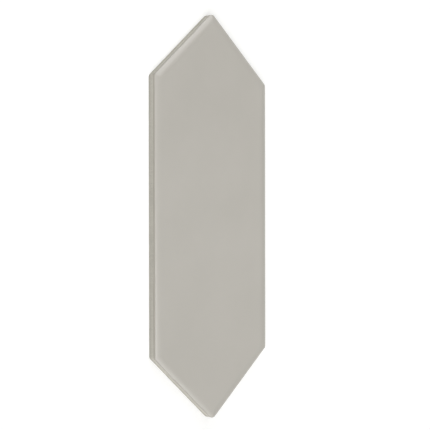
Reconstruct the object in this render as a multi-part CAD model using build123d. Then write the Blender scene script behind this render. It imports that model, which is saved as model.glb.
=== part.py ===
from build123d import *

import math
import os

# Glazed ceramic wall tile of the picket shape: a long hexagon with a point at each end.
# The tile is one pressed and fired piece, and it lies on its back with the glazed face up.
# Frame: origin on the back, in the middle; X across the width, Y along the length, Z out of the face.

# Plan of the tile, in millimetres and degrees
TILE_WIDTH = 100.0  # across the two long edges, where they are widest, at the foot
TILE_LENGTH = 300.0  # from tip to tip of the rounded points, at the foot
POINT_SLOPE = 45.0  # rise of each slanted edge, measured from the width
CORNER_RADIUS = 3.5  # plan radius of the two points and the four corners, at the foot

# Section across every edge
TILE_THICKNESS = 9.0  # back to face
CUSHION_WIDTH = 6.5  # from the foot to where the face, after rolling down, is flat
CUSHION_RADIUS = 15.5  # curve of the rolled band
NOSE_RADIUS = 0.8  # glazed arris between the band and the edge wall
WALL_DRAFT = 5.0  # the wall stands out towards the back, so the pressed tile lifts out of its die
FOOT_CHAMFER = 0.4  # broken arris at the back

# Keyed back: shallow grooves along the length, with ribs between them flush with the border
GROOVE_WIDTH = 7.0
GROOVE_DEPTH = 0.7
GROOVE_PITCH = 11.0
GROOVE_DRAFT = 35.0  # lean of the groove walls
GROOVE_CORNER = 0.8  # plan radius at the groove ends, on the groove floor
BACK_BORDER = 7.5  # least distance from the outline to a groove


def edge_lines():
    """Each edge as (outward direction in degrees, distance from the middle), anticlockwise."""
    slant = 90.0 - POINT_SLOPE
    slope = math.cos(math.radians(POINT_SLOPE))
    point_reach = TILE_LENGTH / 2 + CORNER_RADIUS * (1 / slope - 1)  # of the sharp point
    slant_distance = point_reach * slope
    side_distance = TILE_WIDTH / 2
    return [
        (0.0, side_distance),
        (slant, slant_distance),
        (180.0 - slant, slant_distance),
        (180.0, side_distance),
        (180.0 + slant, slant_distance),
        (360.0 - slant, slant_distance),
    ]


def corner_between(first, second, inset=0.0):
    """Plan point where two edge lines meet after both move inward by the inset."""
    (angle_a, reach_a), (angle_b, reach_b) = first, second
    a, b = math.radians(angle_a), math.radians(angle_b)
    reach_a, reach_b = reach_a - inset, reach_b - inset
    spread = math.sin(b - a)
    x = (reach_a * math.sin(b) - reach_b * math.sin(a)) / spread
    y = (reach_b * math.cos(a) - reach_a * math.cos(b)) / spread
    return Vector(x, y)


def outline_corners(inset=0.0):
    """Corners of the outline moved inward by the inset; corner i starts edge i."""
    edges = edge_lines()
    return [corner_between(edges[i - 1], edges[i], inset) for i in range(len(edges))]


def edge_section():
    """Section square to an edge: x runs inward from the widest line, y runs up from the back."""
    draft = math.radians(WALL_DRAFT)
    up_wall = Vector(math.sin(draft), math.cos(draft))
    into_wall = Vector(math.cos(draft), -math.sin(draft))
    reach = TILE_LENGTH  # well past the opposite edge

    back_arris = Vector(FOOT_CHAMFER, 0)
    wall_foot = Vector(0, FOOT_CHAMFER)
    cushion_start = Vector(CUSHION_WIDTH, TILE_THICKNESS)
    cushion_centre = cushion_start - Vector(0, CUSHION_RADIUS)

    # The nose touches the wall and, from inside, the circle of the cushion
    nose_base = wall_foot + into_wall * NOSE_RADIUS  # the nose's centre lies up the wall from here
    offset = nose_base - cushion_centre
    climb = offset.dot(up_wall)
    centre_gap = CUSHION_RADIUS - NOSE_RADIUS
    nose_rise = math.sqrt(climb**2 - offset.dot(offset) + centre_gap**2) - climb
    nose_centre = nose_base + up_wall * nose_rise

    outward = (nose_centre - cushion_centre).normalized()  # square to the surface where band and nose meet
    cushion_end = nose_centre + outward * NOSE_RADIUS
    cushion_mid = cushion_centre + (outward + Vector(0, 1)).normalized() * CUSHION_RADIUS
    nose_end = nose_centre - into_wall * NOSE_RADIUS
    nose_mid = nose_centre + (outward - into_wall).normalized() * NOSE_RADIUS

    outline = [
        Line(Vector(reach, TILE_THICKNESS), cushion_start),
        ThreePointArc(cushion_start, cushion_mid, cushion_end),
        ThreePointArc(cushion_end, nose_mid, nose_end),
        Line(nose_end, wall_foot),
        Line(wall_foot, back_arris),
        Line(back_arris, Vector(reach, 0)),
        Line(Vector(reach, 0), Vector(reach, TILE_THICKNESS)),
    ]
    return make_face(outline)


def section_plane(point, direction):
    """Plane that stands on a plan point, with its x axis inward and its y axis up."""
    angle = math.radians(direction)
    inward = Vector(-math.cos(angle), -math.sin(angle))
    along = Vector(-math.sin(angle), math.cos(angle))
    return Plane(origin=point, x_dir=inward, z_dir=along)


def tile_blank():
    """The whole tile with a plain back: a mitred middle, six edge strips and six round corners."""
    edges = edge_lines()
    corners = outline_corners()
    section = edge_section()
    rim = Pos(CORNER_RADIUS / 2, TILE_THICKNESS / 2) * Rectangle(CORNER_RADIUS, 2 * TILE_THICKNESS)
    rim_section = section & rim
    middle_section = section - rim

    middle = None
    pieces = []
    for i, (direction, reach) in enumerate(edges):
        start, end = corners[i], corners[(i + 1) % len(edges)]
        angle = math.radians(direction)
        foot = Vector(math.cos(angle), math.sin(angle)) * reach
        plane = section_plane(foot, direction)
        slab = extrude(plane * middle_section, amount=TILE_LENGTH, both=True)
        middle = slab if middle is None else middle & slab

        next_turn = (edges[(i + 1) % len(edges)][0] - direction) % 360
        last_turn = (direction - edges[i - 1][0]) % 360
        along = (end - start).normalized()
        start_trim = CORNER_RADIUS * math.tan(math.radians(last_turn / 2))
        end_trim = CORNER_RADIUS * math.tan(math.radians(next_turn / 2))
        strip_start = start + along * start_trim
        strip_length = (end - start).length - start_trim - end_trim
        strip_plane = section_plane(strip_start, direction)
        pieces.append(extrude(strip_plane * rim_section, amount=strip_length))

        turn_centre = strip_start + strip_plane.x_dir * CORNER_RADIUS
        turn_axis = Axis(turn_centre, (0, 0, 1))
        pieces.append(revolve(strip_plane * rim_section, axis=turn_axis, revolution_arc=-last_turn))
    return middle.fuse(*pieces).clean()


def back_grooves():
    """Cutters for the keyed back: parallel grooves whose ends follow the outline at the border."""
    field = make_face(Polyline(*outline_corners(BACK_BORDER), close=True))
    room = TILE_WIDTH / 2 - BACK_BORDER - GROOVE_WIDTH / 2
    pairs = math.floor(room / GROOVE_PITCH + 0.5)
    mouth_corner = GROOVE_CORNER + GROOVE_DEPTH * math.tan(math.radians(GROOVE_DRAFT))
    cutters = []
    for pair in range(pairs):
        for side in (-1, 1):
            x = side * (pair + 0.5) * GROOVE_PITCH
            groove = field & (Pos(x, 0) * Rectangle(GROOVE_WIDTH, TILE_LENGTH))
            groove = fillet(groove.vertices(), mouth_corner)
            cutters.append(extrude(groove, amount=GROOVE_DEPTH, taper=GROOVE_DRAFT))
    return cutters


def wall_tile():
    """The finished tile: the blank with its keyed back pressed in."""
    return tile_blank() - back_grooves()


if __name__ == "__main__":
    os.makedirs("parts", exist_ok=True)
    export_step(wall_tile(), "parts/picket_tile.step")
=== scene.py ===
"""Looks of the picket wall tile: a glossy cushioned face, a bare fired foot and a grooved back."""

import math

import bpy
from mathutils import Matrix, Vector, noise
from mathutils.geometry import delaunay_2d_cdt


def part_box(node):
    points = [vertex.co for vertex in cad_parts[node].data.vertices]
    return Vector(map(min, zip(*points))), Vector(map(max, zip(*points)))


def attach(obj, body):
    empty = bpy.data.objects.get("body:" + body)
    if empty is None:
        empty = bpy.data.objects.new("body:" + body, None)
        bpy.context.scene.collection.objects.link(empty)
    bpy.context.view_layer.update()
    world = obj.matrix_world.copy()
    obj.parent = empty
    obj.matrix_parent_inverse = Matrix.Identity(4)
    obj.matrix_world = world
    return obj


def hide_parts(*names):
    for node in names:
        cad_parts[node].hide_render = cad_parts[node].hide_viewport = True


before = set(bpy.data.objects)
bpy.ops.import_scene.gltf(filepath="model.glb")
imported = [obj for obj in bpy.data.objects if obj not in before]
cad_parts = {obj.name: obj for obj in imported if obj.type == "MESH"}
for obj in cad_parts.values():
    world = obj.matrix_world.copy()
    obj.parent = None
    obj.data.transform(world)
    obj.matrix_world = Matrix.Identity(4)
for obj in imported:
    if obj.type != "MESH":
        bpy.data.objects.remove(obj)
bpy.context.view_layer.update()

# The tile is laid out in millimetres, in the frame of the solid, and its mesh is scaled to metres
MM = 0.001
NODE = "picket_tile"
low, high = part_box(NODE)
TILE_WIDTH, TILE_LENGTH, TILE_THICKNESS = (high - low) / MM

# Outline and edge section, as in the solid
POINT_SLOPE = 45.0
CORNER_RADIUS = 3.5
CUSHION_WIDTH = 6.5
CUSHION_RADIUS = 15.5
NOSE_RADIUS = 0.8
WALL_DRAFT = 5.0
FOOT_CHAMFER = 0.4
RIDGE_RADIUS = 0.3  # the glaze softens the ridges where two cushioned edges meet

# Keyed back, as in the solid
GROOVE_WIDTH = 7.0
GROOVE_DEPTH = 0.7
GROOVE_PITCH = 11.0
GROOVE_DRAFT = 35.0
GROOVE_CORNER = 0.8
BACK_BORDER = 7.5
RIB_ROUND = 0.2  # the arris of a rib, softened in firing

# Where the glaze stops on the wall
GLAZE_LINE = 6.0  # mean height above the back
GLAZE_WANDER = 0.5  # how far the line strays over a few centimetres
GLAZE_WANDER_LENGTH = 38.0
GLAZE_RIPPLE = 0.2  # and over a few millimetres
GLAZE_RIPPLE_LENGTH = 4.5
GLAZE_LIP = 0.08  # how far the glaze stands out of the wall at its lower end

# Unevenness of the fired surfaces
FACE_WAVE = 0.05  # depth of the face's slow waves
FACE_WAVE_LENGTH = 34.0
BARE_GRAIN = 0.05  # depth of the pressed grain on the bare wall
BARE_GRAIN_LENGTH = 1.7
FOOT_WEAR = 0.15  # how much more of the foot's arris is worn away here and there
FOOT_WEAR_LENGTH = 6.0

# Noise behind that unevenness
OCTAVE_FADE = 1.0  # each octave is half as deep as the last
OCTAVE_STEP = 2.0  # and twice as fine
SLOW_OCTAVES = 2
GRAIN_OCTAVES = 3
FACE_LAYER, FOOT_LAYER, WANDER_LAYER, RIPPLE_LAYER = 3.0, 7.0, 17.0, 19.0  # levels, one for each pattern

# Fineness of the mesh
EDGE_STEP = 0.8
FACE_STEP = 2.2
BACK_STEP = 4.0
ARC_STEPS = 10
BARE_ROWS = 13
LIP_ROWS = 4
GLAZED_ROWS = 5
NOSE_ROWS = 10
CUSHION_ROWS = 14
FACE_BAND = 4.0  # band of rings between the cushion and the filled middle of the face
FACE_ROWS = 4
RIB_ROWS = 3
SHARP_ANGLE = 30.0  # edges sharper than this are shaded as edges

GLAZE, BISQUE = 0, 1  # the mesh's material slots
POOLED, BARED = -1.0, 1.0  # how thin the glaze is on the wall and on the arris; on the face it is 0


class Shell:
    """A mesh in the making: points in millimetres, how thin their glaze is, and faces with a material."""

    def __init__(self):
        self.points = []
        self.thin = []
        self.faces = []
        self.slots = []

    def add_points(self, points, thin=0.0):
        """Adds points and returns their numbers."""
        start = len(self.points)
        self.points += points
        self.thin += [thin] * len(points)
        return list(range(start, len(self.points)))

    def add_face(self, corners, slot, flip=False):
        """Adds a face, turned over if asked."""
        self.faces.append(corners[::-1] if flip else corners)
        self.slots.append(slot)

    def bridge(self, outer, inner, slot, flip=False):
        """Joins two loops of the same length with a band of faces."""
        for i in range(len(outer)):
            j = (i + 1) % len(outer)
            self.add_face((outer[i], outer[j], inner[j], inner[i]), slot, flip)

    def fill(self, loops, slot, spots=(), flip=False):
        """Fills the first loop, less the loops inside it, through the extra points given as spots."""
        numbers = []
        rings = []
        for loop in loops:
            rings.append(range(len(numbers), len(numbers) + len(loop)))
            numbers += loop
        numbers += self.add_points(list(spots))
        plan = [self.points[number].to_2d() for number in numbers]
        inside_with_holes = 2
        nearness = 1e-6
        _, _, faces, sources, _, _ = delaunay_2d_cdt(plan, [], rings, inside_with_holes, nearness)
        for face in faces:
            self.add_face([numbers[sources[corner][0]] for corner in face], slot, flip)

    def make_object(self, name, materials):
        """The finished mesh object, in metres."""
        mesh = bpy.data.meshes.new(name)
        mesh.from_pydata([point * MM for point in self.points], [], self.faces)
        for material in materials:
            mesh.materials.append(material)
        mesh.polygons.foreach_set("material_index", self.slots)
        mesh.attributes.new("thin", "FLOAT", "POINT").data.foreach_set("value", self.thin)
        mesh.shade_smooth()
        mesh.set_sharp_from_angle(angle=math.radians(SHARP_ANGLE))
        made = bpy.data.objects.new(name, mesh)
        bpy.context.scene.collection.objects.link(made)
        return made


def edge_direction(angle):
    """Unit vector in plan at an angle in degrees."""
    return Vector((math.cos(math.radians(angle)), math.sin(math.radians(angle))))


def tile_edges():
    """Each edge as (outward direction in degrees, distance from the middle), anticlockwise."""
    slant = 90.0 - POINT_SLOPE
    slope = math.cos(math.radians(POINT_SLOPE))
    point_reach = TILE_LENGTH / 2 + CORNER_RADIUS * (1 / slope - 1)  # of the sharp point
    slant_distance = point_reach * slope
    side_distance = TILE_WIDTH / 2
    return [
        (0.0, side_distance),
        (slant, slant_distance),
        (180.0 - slant, slant_distance),
        (180.0, side_distance),
        (180.0 + slant, slant_distance),
        (360.0 - slant, slant_distance),
    ]


def groove_edges(x):
    """Edges of the groove whose middle line is at x, in the same form; its ends follow the outline."""
    slanted = [edge for edge in tile_edges() if edge[0] % 180.0 != 0.0]
    ends = [(angle, reach - BACK_BORDER) for angle, reach in slanted if edge_direction(angle).x * x > 0]
    sides = [(0.0, GROOVE_WIDTH / 2 + x), (180.0, GROOVE_WIDTH / 2 - x)]
    return sorted(ends + sides)


def corner_between(first, second, inset):
    """Plan point where two edge lines meet after both move inward by the inset."""
    a, b = math.radians(first[0]), math.radians(second[0])
    reach_a, reach_b = first[1] - inset, second[1] - inset
    spread = math.sin(b - a)
    x = (reach_a * math.sin(b) - reach_b * math.sin(a)) / spread
    y = (reach_b * math.cos(a) - reach_a * math.cos(b)) / spread
    return Vector((x, y))


def outline(edges, inset, radius, steps):
    """Points round an outline and their outward directions; the count is the same at every inset."""
    points = []
    for i, edge in enumerate(edges):
        previous, following = edges[i - 1], edges[(i + 1) % len(edges)]
        centre = corner_between(previous, edge, inset + radius)
        next_centre = corner_between(edge, following, inset + radius)
        turn = (edge[0] - previous[0]) % 360
        for step in range(ARC_STEPS):
            outward = edge_direction(previous[0] + turn * step / ARC_STEPS)
            points.append((centre + outward * radius, outward))
        outward = edge_direction(edge[0])
        for step in range(steps[i]):
            points.append((centre.lerp(next_centre, step / steps[i]) + outward * radius, outward))
    return points


def steps_along(edges, length):
    """How many steps of about the given length each edge of an outline is divided into."""
    steps = []
    for i, edge in enumerate(edges):
        start = corner_between(edges[i - 1], edge, 0)
        end = corner_between(edge, edges[(i + 1) % len(edges)], 0)
        steps.append(max(1, round((end - start).length / length)))
    return steps


def wobble(plan, length, layer):
    """Smooth noise from about -1 to 1, with waves of the given length."""
    place = Vector((plan.x, plan.y, 0.0)) / length + Vector((0.0, 0.0, layer))
    return noise.fractal(place, OCTAVE_FADE, OCTAVE_STEP, SLOW_OCTAVES)


def above_zero(value):
    """A noise value moved from about -1 to 1 into 0 to 1."""
    return min(max(0.5 + 0.5 * value, 0.0), 1.0)


def nose_middle():
    """Middle of the nose's arc, as inset and height: it touches the wall and the cushion's circle."""
    draft = math.radians(WALL_DRAFT)
    up_wall = Vector((math.sin(draft), math.cos(draft)))
    into_wall = Vector((math.cos(draft), -math.sin(draft)))
    base = Vector((0.0, FOOT_CHAMFER)) + into_wall * NOSE_RADIUS
    offset = base - Vector((CUSHION_WIDTH, TILE_THICKNESS - CUSHION_RADIUS))
    climb = offset.dot(up_wall)
    centre_gap = CUSHION_RADIUS - NOSE_RADIUS
    rise = math.sqrt(climb**2 - offset.dot(offset) + centre_gap**2) - climb
    return base + up_wall * rise


def wall_inset(height):
    """How far the wall stands in from the widest line, at a height."""
    return max(0.0, (height - FOOT_CHAMFER) * math.tan(math.radians(WALL_DRAFT)))


def bare_inset(plan, height):
    """The same for the bare wall, whose pressed grain lies below the solid's."""
    place = Vector((plan.x, plan.y, height)) / BARE_GRAIN_LENGTH
    grains = noise.fractal(place, OCTAVE_FADE, OCTAVE_STEP, GRAIN_OCTAVES)
    return wall_inset(height) + BARE_GRAIN * above_zero(grains)


def face_sink(plan):
    """How far the slow waves of the face lie below the solid's."""
    return FACE_WAVE * above_zero(wobble(plan, FACE_WAVE_LENGTH, FACE_LAYER))


def build_tile():
    """The whole tile as one closed mesh: from the foot over the edge to the face, and then the back."""
    shell = Shell()
    edges = tile_edges()
    steps = steps_along(edges, EDGE_STEP)
    rim = outline(edges, 0.0, CORNER_RADIUS, steps)

    def on_rim(insets, heights, thin=0.0):
        """A loop that follows the rim, at an inset and a height of its own at each point."""
        points = []
        for (plan, outward), inset, height in zip(rim, insets, heights):
            spot = plan - outward * inset
            points.append(Vector((spot.x, spot.y, height)))
        return shell.add_points(points, thin)

    back_arris, row = build_wall(shell, rim, on_rim)
    row = build_cushion(shell, edges, steps, len(rim), row, on_rim)
    clear = CUSHION_WIDTH + FACE_BAND + FACE_STEP / 2
    shell.fill([row], GLAZE, face_spots(edges, clear))

    mouths = [build_groove(shell, groove_edges(x)) for x in groove_lines()]
    shell.fill([back_arris] + mouths, BISQUE, flip=True)
    return shell


def build_wall(shell, rim, on_rim):
    """Worn foot, bare wall, and the glaze from its wandering lip to the nose; returns the end loops."""
    foot = []
    glaze_line = []
    for plan, _ in rim:
        foot.append(FOOT_CHAMFER + FOOT_WEAR * above_zero(wobble(plan, FOOT_WEAR_LENGTH, FOOT_LAYER)))
        wander = GLAZE_WANDER * wobble(plan, GLAZE_WANDER_LENGTH, WANDER_LAYER)
        ripple = GLAZE_RIPPLE * wobble(plan, GLAZE_RIPPLE_LENGTH, RIPPLE_LAYER)
        glaze_line.append(GLAZE_LINE + wander + ripple)

    back_arris = on_rim(foot, [0.0] * len(rim))
    row = back_arris
    for k in range(BARE_ROWS + 1):
        heights = [start + (end - start) * k / BARE_ROWS for start, end in zip(foot, glaze_line)]
        upper = on_rim([bare_inset(plan, z) for (plan, _), z in zip(rim, heights)], heights)
        shell.bridge(row, upper, BISQUE)
        row = upper

    # Lip of the glaze: a quarter round that stands out of the wall
    for k in range(1, LIP_ROWS + 1):
        angle = math.pi / 2 * k / LIP_ROWS
        heights = [z + GLAZE_LIP * (1 - math.cos(angle)) for z in glaze_line]
        stand = GLAZE_LIP * math.sin(angle)
        upper = on_rim([max(0.0, wall_inset(z) - stand) for z in heights], heights, POOLED)
        shell.bridge(row, upper, GLAZE)
        row = upper

    # Glazed wall, whose lip thins out towards the nose
    wall_top = nose_middle().y + NOSE_RADIUS * math.sin(math.radians(WALL_DRAFT))
    for k in range(1, GLAZED_ROWS + 1):
        share = k / GLAZED_ROWS
        stand = GLAZE_LIP * (1 - share)
        heights = [z + GLAZE_LIP + (wall_top - z - GLAZE_LIP) * share for z in glaze_line]
        upper = on_rim([max(0.0, wall_inset(z) - stand) for z in heights], heights, POOLED)
        shell.bridge(row, upper, GLAZE)
        row = upper
    return back_arris, row


def build_cushion(shell, edges, steps, count, row, on_rim):
    """Nose, cushion band and the first rings of the face; returns the innermost ring."""
    nose = nose_middle()
    roll = math.asin((CUSHION_WIDTH - nose.x) / (CUSHION_RADIUS - NOSE_RADIUS))
    first = math.radians(WALL_DRAFT)
    last = math.pi / 2 - roll
    for k in range(1, NOSE_ROWS + 1):
        angle = first + (last - first) * k / NOSE_ROWS
        inset = nose.x - NOSE_RADIUS * math.cos(angle)
        height = nose.y + NOSE_RADIUS * math.sin(angle)
        thin = POOLED + (BARED - POOLED) * k / NOSE_ROWS
        upper = on_rim([inset] * count, [height] * count, thin)
        shell.bridge(row, upper, GLAZE)
        row = upper

    def ring(inset, drop, thin, wave_share):
        """A loop of the face at an inset, below the face's level by the drop and its share of the waves."""
        radius = max(CORNER_RADIUS - inset, RIDGE_RADIUS)
        points = []
        for plan, _ in outline(edges, inset, radius, steps):
            height = TILE_THICKNESS - drop - wave_share * face_sink(plan)
            points.append(Vector((plan.x, plan.y, height)))
        return shell.add_points(points, thin)

    # Away from the nose the glaze soon has its full depth, and the face's waves set in slowly
    for k in range(1, CUSHION_ROWS + 1):
        share = k / CUSHION_ROWS
        angle = roll * (1 - share)
        inset = CUSHION_WIDTH - CUSHION_RADIUS * math.sin(angle)
        drop = CUSHION_RADIUS * (1 - math.cos(angle))
        inner = ring(inset, drop, BARED * (1 - share) ** 3, share**2)
        shell.bridge(row, inner, GLAZE)
        row = inner
    for k in range(1, FACE_ROWS + 1):
        inner = ring(CUSHION_WIDTH + FACE_BAND * k / FACE_ROWS, 0.0, 0.0, 1.0)
        shell.bridge(row, inner, GLAZE)
        row = inner
    return row


def face_spots(edges, clear):
    """Points of a staggered grid over the face, at least the clear distance inside every edge."""
    spots = []
    row_step = FACE_STEP * math.sqrt(3) / 2
    rows = int(TILE_LENGTH / 2 / row_step)
    columns = int(TILE_WIDTH / 2 / FACE_STEP)
    for row in range(-rows, rows + 1):
        shift = FACE_STEP / 2 * (row % 2)
        for column in range(-columns, columns + 1):
            plan = Vector((column * FACE_STEP + shift, row * row_step))
            if all(reach - plan.dot(edge_direction(angle)) > clear for angle, reach in edges):
                spots.append(Vector((plan.x, plan.y, TILE_THICKNESS - face_sink(plan))))
    return spots


def groove_lines():
    """Where the middle lines of the grooves lie across the back."""
    room = TILE_WIDTH / 2 - BACK_BORDER - GROOVE_WIDTH / 2
    pairs = math.floor(room / GROOVE_PITCH + 0.5)
    return [side * (pair + 0.5) * GROOVE_PITCH for pair in range(pairs) for side in (-1, 1)]


def build_groove(shell, edges):
    """One groove of the keyed back, from its rounded mouth to its floor; returns the mouth's loop."""
    steps = steps_along(edges, BACK_STEP)
    lean = math.radians(GROOVE_DRAFT)
    mouth_corner = GROOVE_CORNER + GROOVE_DEPTH * math.tan(lean)
    section = []
    for k in range(RIB_ROWS + 1):
        angle = (math.pi / 2 - lean) * k / RIB_ROWS
        section.append((RIB_ROUND * math.sin(angle), RIB_ROUND * (1 - math.cos(angle))))
    section.append((GROOVE_DEPTH * math.tan(lean), GROOVE_DEPTH))
    loops = []
    for inset, height in section:
        points = outline(edges, inset, mouth_corner - inset, steps)
        loops.append(shell.add_points([Vector((plan.x, plan.y, height)) for plan, _ in points]))
    for outer, inner in zip(loops, loops[1:]):
        shell.bridge(outer, inner, BISQUE, flip=True)
    shell.fill([loops[-1]], BISQUE, flip=True)
    return loops[0]


def add_node(tree, kind, inputs=None, **settings):
    """A new shader node with its settings; its inputs are values or sockets to link."""
    made = tree.nodes.new("ShaderNode" + kind)
    for name, value in settings.items():
        setattr(made, name, value)
    for socket, value in (inputs or {}).items():
        if isinstance(value, bpy.types.NodeSocket):
            tree.links.new(value, made.inputs[socket])
        else:
            made.inputs[socket].default_value = value
    return made


def new_material(name):
    """A material with its node tree and its Principled shader."""
    material = bpy.data.materials.new(name)
    material.use_nodes = True
    tree = material.node_tree
    return material, tree, tree.nodes["Principled BSDF"]


def stretch(tree, value, span, result=(0.0, 1.0), kind="LINEAR"):
    """The value's span, mapped to the two ends of the result."""
    ends = {"From Min": span[0], "From Max": span[1], "To Min": result[0], "To Max": result[1]}
    return add_node(tree, "MapRange", {"Value": value, **ends}, interpolation_type=kind).outputs["Result"]


def combine(tree, operation, first, second):
    """Two numbers put together by a Math node."""
    return add_node(tree, "Math", {0: first, 1: second}, operation=operation).outputs["Value"]


def distance(tree, value, middle):
    """How far a number lies from the middle, either way."""
    gap = combine(tree, "SUBTRACT", value, middle)
    return add_node(tree, "Math", {0: gap}, operation="ABSOLUTE").outputs["Value"]


def grain(tree, place, size, detail):
    """Noise with grains of about the given size in metres."""
    return add_node(tree, "TexNoise", {"Vector": place, "Scale": 1 / size, "Detail": detail}).outputs["Fac"]


def mix_colours(tree, share, first, second):
    """Two colours mixed by a share; the node's colour sockets go by number, because their names repeat."""
    share_in, first_in, second_in, colour_out = 0, 6, 7, 2
    made = add_node(tree, "Mix", {share_in: share, first_in: first, second_in: second}, data_type="RGBA")
    return made.outputs[colour_out]


def add_bump(tree, shader, height, depth):
    """Gives a shader the relief of a noise, with a depth in metres."""
    bump = add_node(tree, "Bump", {"Height": height, "Strength": 1.0, "Distance": depth})
    tree.links.new(bump.outputs["Normal"], shader.inputs["Normal"])


# Glaze: sizes in metres, the span of the noise that each change of tone or gloss takes, and linear colours
CLOUD_SIZE = 0.040
CLOUD_SPAN = 0.35, 0.65
CLOUD_TONES = (0.492, 0.472, 0.428, 1.0), (0.507, 0.486, 0.442, 1.0)
BARED_TONE = (0.548, 0.527, 0.482, 1.0)
POOLED_TONE = (0.484, 0.449, 0.391, 1.0)
HAZE_SIZE = 0.014
HAZE_SPAN = 0.3, 0.7
HAZE_ROUGHNESS = 0.19, 0.25
PEEL_SIZE = 0.0024  # the fine unevenness of any fired glaze
PEEL_DEPTH = 4e-6


def glaze_material():
    """Warm light grey glaze: slow clouds of tone, paler where it thins and darker where it has pooled."""
    material, tree, shader = new_material("glaze")
    place = add_node(tree, "TexCoord").outputs["Object"]
    clouds = grain(tree, place, CLOUD_SIZE, detail=3.0)
    tone = mix_colours(tree, stretch(tree, clouds, CLOUD_SPAN), *CLOUD_TONES)
    thin = add_node(tree, "Attribute", attribute_name="thin").outputs["Fac"]
    tone = mix_colours(tree, stretch(tree, thin, (0.0, BARED)), tone, BARED_TONE)
    tone = mix_colours(tree, stretch(tree, thin, (0.0, POOLED)), tone, POOLED_TONE)
    tree.links.new(tone, shader.inputs["Base Color"])
    haze = grain(tree, place, HAZE_SIZE, detail=2.0)
    tree.links.new(stretch(tree, haze, HAZE_SPAN, HAZE_ROUGHNESS), shader.inputs["Roughness"])
    add_bump(tree, shader, grain(tree, place, PEEL_SIZE, detail=1.0), PEEL_DEPTH)
    return material


# Bare fired body, in the same terms, and the most that each mark covers of the tone below it
PATCH_SIZE = 0.017
PATCH_SPAN = 0.3, 0.7
PATCH_TONES = (0.520, 0.500, 0.439, 1.0), (0.583, 0.562, 0.495, 1.0)
DRAG_SIZE = 0.0016  # width of the die's marks up the wall
DRAG_SQUEEZE = (1.0, 1.0, 0.12)  # draws them out in height
DRAG_SPAN = 0.5, 0.7
DRAG_COVER = 0.5
DRAG_TONE = (0.62, 0.60, 0.528, 1.0)
HIGHLIGHT_BAND_HEIGHT = 0.0045  # middle line of the wall's band of painted highlight, above the back
HIGHLIGHT_BAND_SPAN = 0.0021, 0.0007  # away from that line, from none to all of it
HIGHLIGHT_BAND_REACH = 0.045, 0.080  # away from the tile's middle towards the points, likewise
HIGHLIGHT_BAND_COVER = 0.5
# Painted highlight: the tone of the paler band along the middle of the bare wall
PAINTED_HIGHLIGHT_TONE = (0.65, 0.628, 0.556, 1.0)
FOOT_SHADE_HEIGHT = 0.0026, 0.0012  # above the back, from none to all of the painted shade at the foot
FOOT_SHADE_COVER = 0.5
# Painted shade: the darker tone at the foot of the bare wall
FOOT_SHADE_TONE = (0.46, 0.441, 0.386, 1.0)
PORE_SIZE = 0.0009
PORE_DEPTH = 5e-5
PORE_SPAN = 0.40, 0.30
PORE_COVER = 0.6
PORE_TONE = (0.36, 0.342, 0.298, 1.0)
DUST_SIZE = 0.006
DUST_SPAN = 0.42, 0.62
DUST_COVER = 0.55
DUST_TONE = (0.68, 0.67, 0.635, 1.0)
DUST_HEIGHT = 1e-4, 2e-5  # above the kiln shelf, from none to all of it
BARE_ROUGHNESS = 0.85


def bisque_material():
    """Bare fired body: dry warm grey, with patches, drag marks of the die, open pores and a dusted back, a
    painted highlight along the middle of the wall and painted shade at its foot.
    """
    material, tree, shader = new_material("bisque")
    place = add_node(tree, "TexCoord").outputs["Object"]
    patches = grain(tree, place, PATCH_SIZE, detail=4.0)
    tone = mix_colours(tree, stretch(tree, patches, PATCH_SPAN), *PATCH_TONES)
    drawn_out = add_node(tree, "Mapping", {"Vector": place, "Scale": DRAG_SQUEEZE}).outputs["Vector"]
    drag = grain(tree, drawn_out, DRAG_SIZE, detail=2.0)
    tone = mix_colours(tree, stretch(tree, drag, DRAG_SPAN, (0.0, DRAG_COVER)), tone, DRAG_TONE)

    # Painted highlight: paler along the middle of the wall, more so towards the points; painted shade: a
    # little darker at the foot
    axes = add_node(tree, "SeparateXYZ", {"Vector": place}).outputs
    in_painted_highlight = stretch(tree, distance(tree, axes["Z"], HIGHLIGHT_BAND_HEIGHT), HIGHLIGHT_BAND_SPAN, (0.0, HIGHLIGHT_BAND_COVER))
    near_point = stretch(tree, distance(tree, axes["Y"], 0.0), HIGHLIGHT_BAND_REACH)
    tone = mix_colours(tree, combine(tree, "MULTIPLY", in_painted_highlight, near_point), tone, PAINTED_HIGHLIGHT_TONE)
    tone = mix_colours(tree, stretch(tree, axes["Z"], FOOT_SHADE_HEIGHT, (0.0, FOOT_SHADE_COVER)), tone, FOOT_SHADE_TONE)
    pores = grain(tree, place, PORE_SIZE, detail=3.0)
    tone = mix_colours(tree, stretch(tree, pores, PORE_SPAN, (0.0, PORE_COVER)), tone, PORE_TONE)

    # Pale setter dust on what touched the kiln: the ribs and the border of the back
    touched = stretch(tree, axes["Z"], DUST_HEIGHT)
    dusted = stretch(tree, grain(tree, place, DUST_SIZE, detail=5.0), DUST_SPAN, (0.0, DUST_COVER))
    tone = mix_colours(tree, combine(tree, "MULTIPLY", touched, dusted), tone, DUST_TONE)
    tree.links.new(tone, shader.inputs["Base Color"])
    shader.inputs["Roughness"].default_value = BARE_ROUGHNESS
    add_bump(tree, shader, pores, PORE_DEPTH)
    return material


# Floor, in metres, with what the camera and reflections see of it beyond the light that it gets
FLOOR_REACH = 12.0
FLOOR_DROP = 2e-5  # keeps it clear of the back
FLOOR_COLOUR = (0.65, 0.65, 0.645, 1.0)
FLOOR_ROUGHNESS = 0.9
FLOOR_GLOW = (1.0, 1.0, 0.985, 1.0)
FLOOR_LIFT = 0.41


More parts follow.
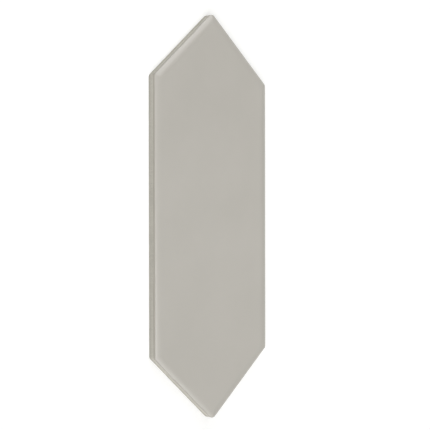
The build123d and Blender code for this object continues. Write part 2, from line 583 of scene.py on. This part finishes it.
def build_floor():
    """Wide pale floor; it shows white to the camera and to reflections, and keeps the tile's shadow."""
    signs = [(-1, -1), (1, -1), (1, 1), (-1, 1)]
    mesh = bpy.data.meshes.new("floor")
    mesh.from_pydata([(x * FLOOR_REACH, y * FLOOR_REACH, 0.0) for x, y in signs], [], [(0, 1, 2, 3)])
    floor = bpy.data.objects.new("floor", mesh)
    floor.location.z = -FLOOR_DROP
    bpy.context.scene.collection.objects.link(floor)
    material, tree, shader = new_material("floor")
    shader.inputs["Base Color"].default_value = FLOOR_COLOUR
    shader.inputs["Roughness"].default_value = FLOOR_ROUGHNESS
    shader.inputs["Specular IOR Level"].default_value = 0.0
    shader.inputs["Emission Color"].default_value = FLOOR_GLOW
    lift = stretch(tree, seen(tree), (0.0, 1.0), (0.0, FLOOR_LIFT))
    tree.links.new(lift, shader.inputs["Emission Strength"])
    mesh.materials.append(material)


# Soft boxes round the tile: azimuth from +X towards +Y, elevation and half angle in degrees, and strength
SOFT_BOXES = {
    "key": (233.0, 53.0, 37.0, 3.7),
    "far end": (75.0, 54.0, 19.0, 2.7),
    "far end, low": (88.0, 17.0, 22.0, 3.8),
    "sheen on the face": (354.0, 62.0, 12.0, 0.65),
}
BOX_CORE = 0.3  # share of the half angle that is at full strength
STUDIO_WALL = 0.3  # light from the walls round the horizon, which look white
STUDIO_CEILING = 0.13
WALL_ENDS, CEILING_STARTS = 10.0, 22.0  # elevations
STUDIO_COLOUR = (1.0, 1.0, 1.0, 1.0)


def seen(tree):
    """1 for what the camera, a reflection or glass sees, and 0 for light that falls on a surface."""
    path = add_node(tree, "LightPath").outputs
    direct = combine(tree, "MAXIMUM", path["Is Camera Ray"], path["Is Glossy Ray"])
    return combine(tree, "MAXIMUM", direct, path["Is Transmission Ray"])


def build_light():
    """White studio walls, a dim ceiling and soft boxes, all far away."""
    world = bpy.data.worlds.new("studio")
    bpy.context.scene.world = world
    world.use_nodes = True
    tree = world.node_tree
    way = add_node(tree, "TexCoord").outputs["Generated"]
    rise = add_node(tree, "SeparateXYZ", {"Vector": way}).outputs["Z"]
    wall = stretch(tree, seen(tree), (0.0, 1.0), (STUDIO_WALL, 1.0))
    cove = math.sin(math.radians(WALL_ENDS)), math.sin(math.radians(CEILING_STARTS))
    strength = stretch(tree, rise, cove, (wall, STUDIO_CEILING), "SMOOTHSTEP")
    for azimuth, elevation, half_angle, power in SOFT_BOXES.values():
        level = edge_direction(azimuth) * math.cos(math.radians(elevation))
        middle = Vector((level.x, level.y, math.sin(math.radians(elevation))))
        facing = add_node(tree, "VectorMath", {0: way, 1: middle}, operation="DOT_PRODUCT").outputs["Value"]
        fall = math.cos(math.radians(half_angle)), math.cos(math.radians(half_angle * BOX_CORE))
        glow = stretch(tree, facing, fall, (0.0, power), "SMOOTHSTEP")
        strength = combine(tree, "ADD", strength, glow)
    tree.links.new(strength, tree.nodes["Background"].inputs["Strength"])
    tree.nodes["Background"].inputs["Color"].default_value = STUDIO_COLOUR


# Camera at the photograph's angle, in degrees, metres and pixels of a square image
CAMERA_LEAN = 34.017  # over the long edge on the -X side
CAMERA_RISE = 0.362
CAMERA_ROLL = -0.092
CAMERA_DISTANCE = 0.6443
CAMERA_NEAR = 0.01  # nothing nearer than this shows
IMAGE_SIDE = 430.0
FOCAL_LENGTH = 865.4
SHIFT_RIGHT, SHIFT_UP = 4.99, 1.50


def build_camera():
    """Camera at the photograph's angle: leaning over the long edge, with the tile's length upright."""
    camera = bpy.data.objects.new("camera", bpy.data.cameras.new("camera"))
    bpy.context.scene.collection.objects.link(camera)
    lean = Matrix.Rotation(math.radians(-CAMERA_LEAN), 4, "Y")
    rise = Matrix.Rotation(math.radians(-CAMERA_RISE), 4, "X")
    roll = Matrix.Rotation(math.radians(CAMERA_ROLL), 4, "Z")
    middle = Matrix.Translation((0, 0, TILE_THICKNESS / 2 * MM))
    camera.matrix_world = middle @ lean @ rise @ roll @ Matrix.Translation((0, 0, CAMERA_DISTANCE))
    camera.data.lens = FOCAL_LENGTH / IMAGE_SIDE * camera.data.sensor_width
    camera.data.shift_x = SHIFT_RIGHT / IMAGE_SIDE
    camera.data.shift_y = SHIFT_UP / IMAGE_SIDE
    camera.data.clip_start = CAMERA_NEAR
    bpy.context.scene.camera = camera


tile = build_tile().make_object("picket_tile_fired", [glaze_material(), bisque_material()])
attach(tile, "root")
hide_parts(NODE)
build_floor()
build_light()
build_camera()
bpy.context.scene.view_settings.view_transform = "Standard"
